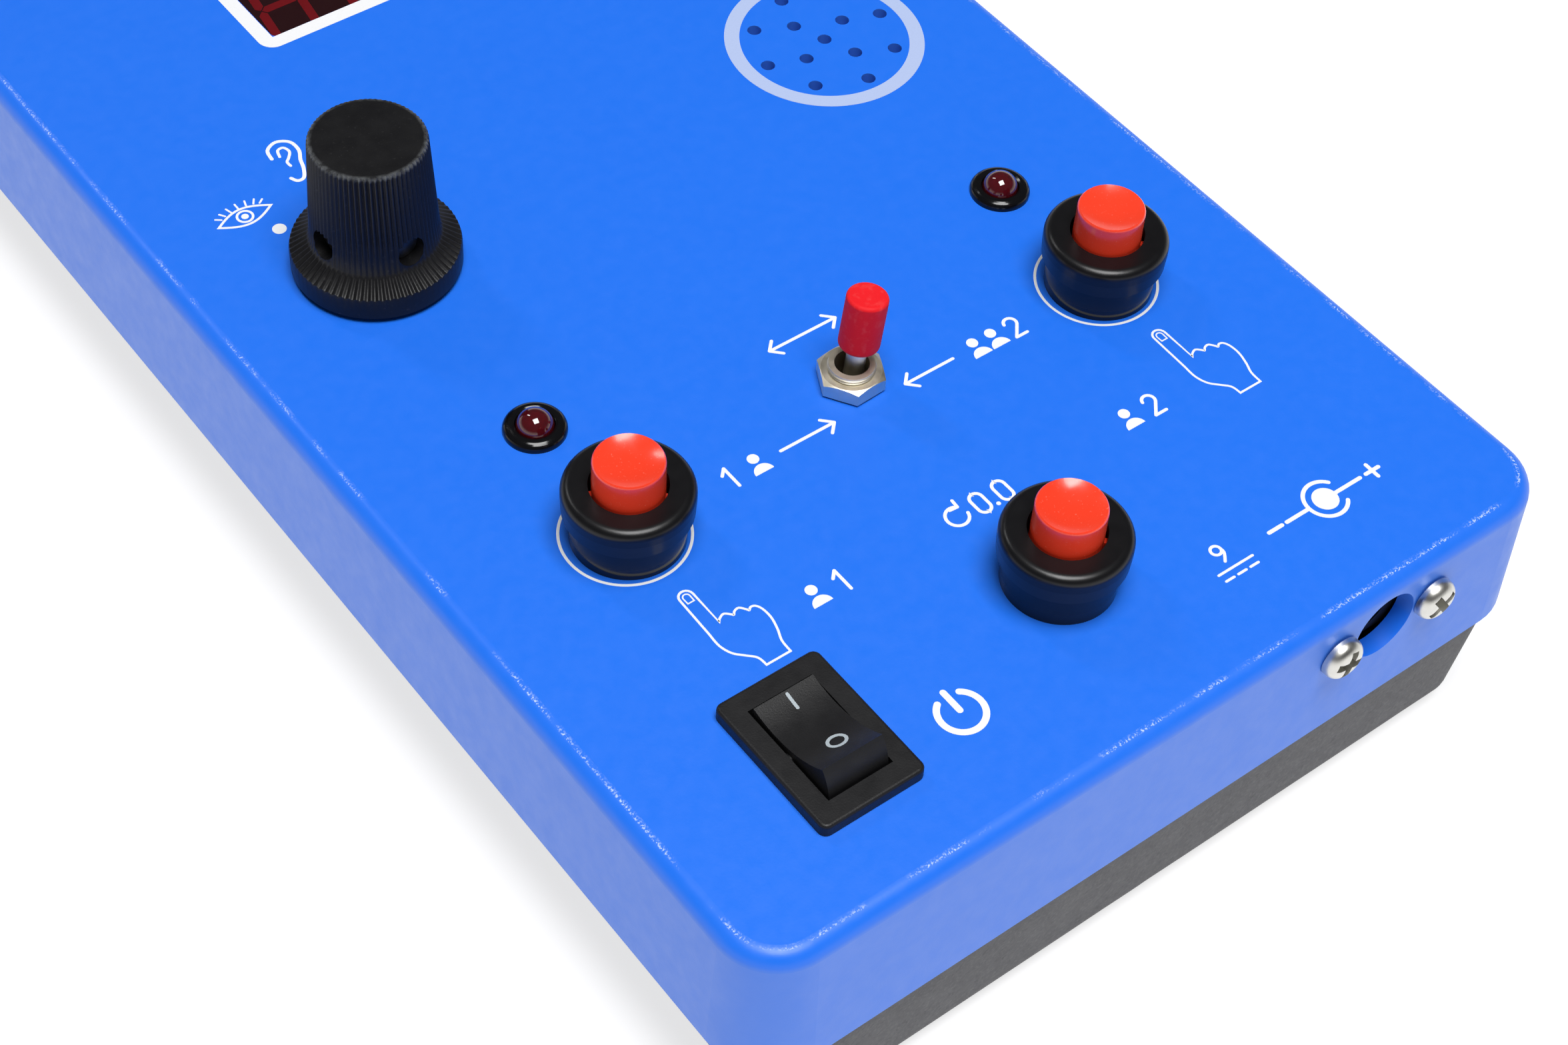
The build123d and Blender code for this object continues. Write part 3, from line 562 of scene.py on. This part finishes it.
def close_core(mesh, centre, levels):
    """Closes the narrow hole that the turned profile leaves on the axis with a face at each level."""
    core = [v for v in mesh.verts if (Vector((v.co.x, v.co.y)) - centre.xy).length < (KNOB_CORE + 0.05) * MM]
    for level in levels:
        ring = [v for v in core if abs(v.co.z - PANEL - level * MM) < 0.01 * MM]
        ring.sort(key=lambda v: math.atan2(v.co.y - centre.y, v.co.x - centre.x))
        mesh.faces.new(ring)
    members = set(core)
    between = [f for f in mesh.faces if len(f.verts) == 4 and all(v in members for v in f.verts)]
    bmesh.ops.delete(mesh, geom=between, context="FACES_ONLY")


def fluted_knob(materials):
    low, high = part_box("selector_knob")
    centre = Vector(((low.x + high.x) / 2, (low.y + high.y) / 2, PANEL))
    skirt = (high.x - low.x) / 2 / MM
    foot, top = (low.z - PANEL) / MM, (high.z - PANEL) / MM
    outline, grooved, fluted = knob_profile(skirt, foot, top)

    def wobble(index, angle):
        ridge = 0.5 - 0.5 * math.cos(FLUTES * angle)
        if index in grooved:
            return 0.0, -SKIRT_GROOVE * grooved[index] * ridge
        if index in fluted:
            return -FLUTE_DEPTH * fluted[index] * ridge, 0.0
        return 0.0, 0.0

    mesh = bmesh.new()
    turned(mesh, outline, FLUTES * SAMPLES_PER_FLUTE, centre, wobble)
    close_core(mesh, centre, (top, KNOB_BORE_TOP))
    knob = finish_mesh("fluted_knob", mesh, materials["knob_black"], "selector", SHARP_ANGLE)
    screw_low, screw_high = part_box("knob_grub_screws")
    cut_holes(knob, centre, (screw_low.z + screw_high.z) / 2 - PANEL)
    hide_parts("selector_knob")


def button_springs():
    """The springs under the caps, each a copy of its spring's mesh on the console."""
    for name in ("user_1", "user_2", "reset"):
        node = f"{name}_spring"
        coil = bpy.data.objects.new(f"{name}_coil", NODES[node].data.copy())
        bpy.context.scene.collection.objects.link(coil)
        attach(coil, "console")
        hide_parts(node)
        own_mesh(coil)


# ================================================================ mode toggle
THREAD_TURNS = 2
THREAD_ROOT = 2.86
THREAD_CREST = 3.12


def toggle_thread(materials):
    """The turns of the bush's thread that show above its nut."""
    centre = on_panel("toggle_nut")
    low = (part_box("toggle_nut")[1].z - PANEL) / MM
    top = (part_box("toggle_bush")[1].z - PANEL) / MM
    mesh = bmesh.new()
    pitch = (top - low - 0.15) / THREAD_TURNS
    for turn in range(THREAD_TURNS):
        start = low + turn * pitch
        ridge = [(THREAD_ROOT, start + 0.02), (THREAD_CREST, start + pitch * 0.5),
                 (THREAD_ROOT, start + pitch * 0.98)]
        turned(mesh, ridge, 48, centre)
    thread = finish_mesh("toggle_thread", mesh, materials["nickel"])


# ================================================================ display digits
DIGIT_PITCH = 12.7
DIGIT_SIZE = (7.6, 14.2)
SEGMENT_WIDTH = 1.35
SEGMENT_GAP = 0.14
DIGIT_SLANT = math.tan(math.radians(8))
DECIMAL_POINT = (1.75, -0.1, 0.7)          # from the digit's lower right, then its radius


def segment(x1, y1, x2, y2):
    """A pointed bar from one end to the other."""
    half = SEGMENT_WIDTH / 2
    start, end = Vector((x1, y1)), Vector((x2, y2))
    along = (end - start).normalized()
    side = Vector((-along.y, along.x)) * half
    start, end = start + along * SEGMENT_GAP, end - along * SEGMENT_GAP
    return [start, start + along * half - side, end - along * half - side, end, end - along * half + side,
            start + along * half + side]


def digit_shapes(x, y):
    width, height = DIGIT_SIZE[0] - SEGMENT_WIDTH, DIGIT_SIZE[1] - SEGMENT_WIDTH
    left, right, low, high = -width / 2, width / 2, -height / 2, height / 2
    bars = [(left, high, right, high), (left, 0, right, 0), (left, low, right, low),
            (left, low, left, 0), (left, 0, left, high), (right, low, right, 0), (right, 0, right, high)]
    shapes = []
    for bar in bars:
        outline = segment(*bar)
        shapes.append(area_shape([Vector((x + p.x + p.y * DIGIT_SLANT, y + p.y)) for p in outline]))
    across, up, radius = DECIMAL_POINT
    shapes.append(area_shape(circle(x + right + across + low * DIGIT_SLANT, y + low + up, radius, 20)))
    return shapes


def display_digits(materials):
    x, y = near("display_module")
    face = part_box("display_module")[1].z
    for i in range(4):
        shapes = digit_shapes(x + (i - 1.5) * DIGIT_PITCH, y)
        mesh = bmesh.new()
        for shape in shapes:
            add_plate(mesh, shape, face, -INK_ROOT, INK)
        digit = finish_mesh(f"display_digit_{i + 1}", mesh, materials["segment_red"])


# ================================================================ printed marks
RINGS = {"user_1": (-37.7, -49.0), "user_2": (37.7, -49.1)}
RING = (8.07, 0.36)                        # radius and width of a button's ring
SPEAKER_RING = (13.1, 2.15)
STROKE = 0.44                              # width of the small signs' lines
HEIGHT = 3.3                               # of the small signs
ARROW_HEAD = 1.3


def numeral(which, x, y, height=HEIGHT, stroke=STROKE):
    """A plain numeral whose lower left corner is x, y."""
    r = height * 0.27
    if which == 1:
        return bent_strokes([(x, y + height * 0.72), (x + r, y + height), (x + r, y)], stroke)
    if which == 2:
        top = circle(x + r, y + height - r, r, 14, 170, -40)
        return [stroke_shape(top + [Vector((x, y))], stroke), stroke_shape([(x, y), (x + 2 * r, y)], stroke)]
    if which == 0:
        return [stroke_shape(rounded_box(x + r, y + height / 2, 2 * r, height, r), stroke, closed=True)]
    ring = stroke_shape(circle(x + r, y + height - r, r, 28), stroke, closed=True)
    tail = smooth_path([(x + 2 * r, y + height - r), (x + 1.9 * r, y + height * 0.42), (x + 0.7 * r, y)])
    return [ring, stroke_shape(tail, stroke)]


def person(x, y):
    """A head above a pair of shoulders, standing on y, with its middle at x."""
    head = HEIGHT * 0.24
    shoulders = circle(x, y, HEIGHT * 0.42, 20, 0, 180)
    return [area_shape(circle(x, y + HEIGHT - head, head, 24)), area_shape(shoulders)]


def arrow(x1, x2, y, both=False):
    """A level arrow whose point is at x2, and also at x1 if both."""
    way = 1 if x2 > x1 else -1
    shapes = [stroke_shape([(x1, y), (x2, y)], STROKE)]
    for tip, sign in ((x2, way), (x1, -way))[:2 if both else 1]:
        back = tip - sign * ARROW_HEAD
        shapes += bent_strokes([(back, y + ARROW_HEAD), (tip, y), (back, y - ARROW_HEAD)], STROKE)
    return shapes


def pointing_hand(x, y):
    """The outline of a hand whose finger points up the panel to x, y."""
    finger = 0.95
    tip = circle(0, -finger, finger, 10, 180, 0)
    knuckles = [(0.95, -6.2), (1.3, -5.8), (2.1, -5.5), (2.8, -6.1), (3.0, -6.3), (3.4, -5.9), (4.1, -5.8),
                (4.7, -6.5), (4.9, -6.8), (5.3, -6.5), (5.9, -6.7), (6.3, -7.6)]
    palm = [(6.35, -9.2), (5.9, -11.0), (5.3, -12.6), (5.2, -14.4)]
    heel = [(1.7, -14.4), (1.5, -13.0), (0.5, -11.9), (-0.6, -10.7), (-1.15, -9.0), (-1.1, -7.0)]
    outline = tip + smooth_path(knuckles + palm, 5) + smooth_path(heel, 5)
    nail = circle(0, -1.0, 0.48, 8, 180, 0) + [Vector((0.45, -1.9)), Vector((-0.45, -1.9))]
    shapes = []
    for path, width in ((outline, 0.3), (nail, 0.18)):
        shapes.append(stroke_shape([Vector((x, y)) + p for p in path], width, closed=True))
    return shapes


def eye(x, y):
    half, bulge, steps = 3.9, 1.55, 16
    upper = []
    for i in range(steps + 1):
        upper.append(Vector((x - half + 2 * half * i / steps, y + bulge * math.sin(math.pi * i / steps))))
    lower = [Vector((p.x, 2 * y - p.y)) for p in reversed(upper)][1:-1]
    shapes = [stroke_shape(upper + lower, 0.34, closed=True),
              stroke_shape(circle(x, y, 1.05, 28), 0.34, closed=True), area_shape(circle(x, y, 0.5, 20))]
    for i in range(7):
        a = math.radians(150 - 20 * i)
        foot = Vector((x + 3.3 * math.cos(a), y + 0.5 + 1.25 * math.sin(a)))
        shapes.append(stroke_shape([foot, foot + Vector((0.75 * math.cos(a), 0.95 * math.sin(a)))], 0.26))
    return shapes


def ear(x, y):
    outer = smooth_path([(-1.9, 1.6), (-1.5, 3.4), (0.2, 4.2), (1.8, 3.2), (2.0, 1.2), (1.2, -0.6),
                         (0.7, -2.2), (-0.2, -3.8), (-1.2, -3.9), (-1.7, -3.0)])
    inner = smooth_path([(-0.8, 1.4), (-0.4, 2.6), (0.5, 2.7), (0.8, 1.6), (0.1, 0.6), (-0.5, 0.0),
                         (-0.5, -0.9)])
    centre = Vector((x, y))
    return [stroke_shape([centre + p for p in outer], 0.5), stroke_shape([centre + p for p in inner], 0.4)]


def power_sign(x, y, radius, stroke):
    gap = 34
    return [stroke_shape(circle(x, y, radius, 40, 90 + gap, 450 - gap), stroke),
            stroke_shape([(x, y + radius * 0.1), (x, y + radius * 1.15)], stroke)]


def turn_back(x, y, radius):
    """A round arrow: back to the start."""
    arc = circle(x, y, radius, 24, 50, 350)
    barbs = [stroke_shape([arc[0], arc[0] + Vector(barb)], STROKE) for barb in ((0.1, 1.15), (-1.15, 0.1))]
    return [stroke_shape(arc, STROKE)] + barbs


def polarity_sign(x, y):
    """Plus on the pin, minus on the sleeve."""
    stroke = 0.55
    shapes = [stroke_shape(circle(x, y, 2.8, 40, 38, 322), stroke), area_shape(circle(x, y, 1.75, 32))]
    lines = [[(x - 9.6, y), (x - 7.4, y)], [(x - 6.6, y), (x - 2.8, y)], [(x, y), (x + 6.0, y)],
             [(x + 7.0, y), (x + 9.2, y)], [(x + 8.1, y - 1.1), (x + 8.1, y + 1.1)]]
    return shapes + [stroke_shape(line, stroke) for line in lines]


def direct_current(x1, x2, y):
    third = (x2 - x1) / 3
    dashes = [stroke_shape([(x1 + third * i + 0.35, y - 1.2), (x1 + third * (i + 1) - 0.35, y - 1.2)], 0.35)
              for i in range(3)]
    return [stroke_shape([(x1 + 0.2, y), (x2 - 0.2, y)], 0.35)] + dashes


def panel_marks(materials):
    white, pale = materials["ink_white"], materials["ink_pale"]
    for name, (x, y) in RINGS.items():
        radius, width = RING
        printed(f"{name}_ring", [stroke_shape(circle(x, y, radius, 96), width, closed=True)], white)
        printed(f"{name}_hand", pointing_hand(x + 0.2, y - 11.2), white)
    printed("user_1_sign", person(-24.8, -71.3) + numeral(1, -21.6, -71.3), white)
    printed("user_2_sign", person(24.9, -71.4) + numeral(2, 28.1, -71.4), white)
    printed("one_player_sign", numeral(1, -22.8, -50.8) + person(-18.0, -50.8)
            + arrow(-14.4, -6.0, -49.2), white)
    printed("two_players_sign", arrow(13.2, 5.4, -49.2) + person(17.0, -51.0) + person(20.0, -51.0)
            + numeral(2, 22.4, -51.0), white)
    printed("mode_sign", arrow(-5.3, 5.3, -34.9, both=True), white)
    printed("reset_sign", turn_back(-3.2, -69.9, 1.5) + numeral(0, -0.4, -71.5) + [
        area_shape(circle(2.3, -71.2, 0.3, 14))] + numeral(0, 3.2, -71.5), white)
    printed("power_sign", power_sign(-21.6, -92.9, 2.9, 0.85), white)
    printed("polarity_mark", polarity_sign(36.0, -93.8), white)
    printed("supply_sign", numeral(9, 18.4, -94.0, 2.6, 0.4) + direct_current(16.5, 22.5, -95.2), white)
    knob = middle("selector_knob") / MM
    printed("selector_dot", [area_shape(circle(knob.x - 7.2, knob.y + 12.4, 0.95, 32))], white)
    printed("eye_sign", eye(knob.x - 9.7, knob.y + 16.9), white)
    printed("ear_sign", ear(knob.x + 0.7, knob.y + 22.8), white)
    x, y = near("speaker_cone")
    radius, width = SPEAKER_RING
    printed("speaker_ring", [stroke_shape(circle(x, y, radius, 128), width, closed=True)], pale)
    x, y = near("display_window")
    printed("display_border", [stroke_shape(rounded_box(x, y, 53.9, 22.1, 1.2), 2.2, closed=True)], white)
    printed("title_frame", [stroke_shape(rounded_box(0, 92.0, 104.0, 24.0, 4.0), 1.6, closed=True)], white)


def rocker_marks(materials):
    """The on and off strokes, laid on the paddle's hollow top."""
    paddle = NODES["rocker_paddle"].data
    tree = BVHTree.FromPolygons([v.co for v in paddle.vertices], [p.vertices for p in paddle.polygons])

    def surface(x, y):
        hit = tree.ray_cast(Vector((x * MM, y * MM, PANEL + 20 * MM)), Vector((0, 0, -1)))
        return hit[0].z

    x, y = near("rocker_housing")
    on = [stroke_shape([(x + 0.2, y + 4.4 + 0.4 * i) for i in range(6)], 0.42)]
    off = [stroke_shape(circle(x + 0.5, y - 2.35, 1.15, 40, tall=0.8), 0.42, closed=True)]
    for name, shapes in (("rocker_on_mark", on), ("rocker_off_mark", off)):
        printed(name, shapes, materials["ink_grey"], "rocker", surface)


# ================================================================ studio
CAMERA_PLACE = Vector((-166.6, -227.6, 302.5)) * MM
CAMERA_TURN = (40.216, -2.865, -37.352)    # degrees about X, Y and Z
CAMERA_LENS = 65.6                         # millimetres
FLOOR_HALF = 3.0                           # half the floor's side, in metres
AIM = Vector((0.0, 0.0, 0.02))             # where the lights point


def add_camera():
    data = bpy.data.cameras.new("camera")
    data.sensor_width = 36.0
    data.lens = CAMERA_LENS
    data.clip_start = 0.01
    camera = bpy.data.objects.new("camera", data)
    camera.location = CAMERA_PLACE
    camera.rotation_euler = Euler([math.radians(a) for a in CAMERA_TURN])
    bpy.context.scene.collection.objects.link(camera)
    bpy.context.scene.camera = camera


def add_softbox(name, place, size, power):
    """An area light in the place given, turned to the middle of the part."""
    data = bpy.data.lights.new(name, "AREA")
    data.shape = "RECTANGLE"
    data.size, data.size_y = size
    data.energy = power
    light = bpy.data.objects.new(name, data)
    light.location = place
    light.rotation_euler = (AIM - Vector(place)).to_track_quat("-Z", "Y").to_euler()
    bpy.context.scene.collection.objects.link(light)


def add_floor():
    mesh = bmesh.new()
    bmesh.ops.create_grid(mesh, x_segments=2, y_segments=2, size=FLOOR_HALF)
    data = bpy.data.meshes.new("floor")
    mesh.to_mesh(data)
    mesh.free()
    floor = bpy.data.objects.new("floor", data)
    floor.location.z = CAD_BOX[0][2]
    pale = new_material("floor_white", (0.42, 0.42, 0.43), 0.9, Specular_IOR_Level=0.0,
                        Emission_Color=(1.0, 1.0, 1.0, 1.0), Emission_Strength=0.72)
    data.materials.append(pale)
    bpy.context.scene.collection.objects.link(floor)


HORIZON = 0.95                             # brightness of the surroundings, level and overhead
CEILING = 0.06


def add_surroundings():
    """A white horizon under a dim ceiling, so that level surfaces have little to mirror."""
    world = bpy.data.worlds.new("studio")
    world.use_nodes = True
    nodes, links = world.node_tree.nodes, world.node_tree.links
    direction = nodes.new("ShaderNodeTexCoord")
    height = nodes.new("ShaderNodeSeparateXYZ")
    fade = nodes.new("ShaderNodeMapRange")
    for socket, value in (("From Min", 0.05), ("From Max", 0.30), ("To Min", HORIZON), ("To Max", CEILING)):
        fade.inputs[socket].default_value = value
    links.new(direction.outputs["Generated"], height.inputs["Vector"])
    links.new(height.outputs["Z"], fade.inputs["Value"])
    links.new(fade.outputs["Result"], nodes["Background"].inputs["Strength"])
    nodes["Background"].inputs["Color"].default_value = (1.0, 1.0, 1.0, 1.0)
    bpy.context.scene.world = world


def add_studio():
    add_softbox("key", (-0.05, -0.25, 1.10), (0.55, 0.55), 13.0)
    add_softbox("glint", (-0.15, 0.85, 0.95), (0.10, 0.35), 1.2)
    add_surroundings()
    add_floor()


bpy.context.scene.view_settings.view_transform = "Standard"
add_camera()
add_studio()
made_materials = make_materials()
fluted_knob(made_materials)
button_springs()
toggle_thread(made_materials)
display_digits(made_materials)
panel_marks(made_materials)
rocker_marks(made_materials)
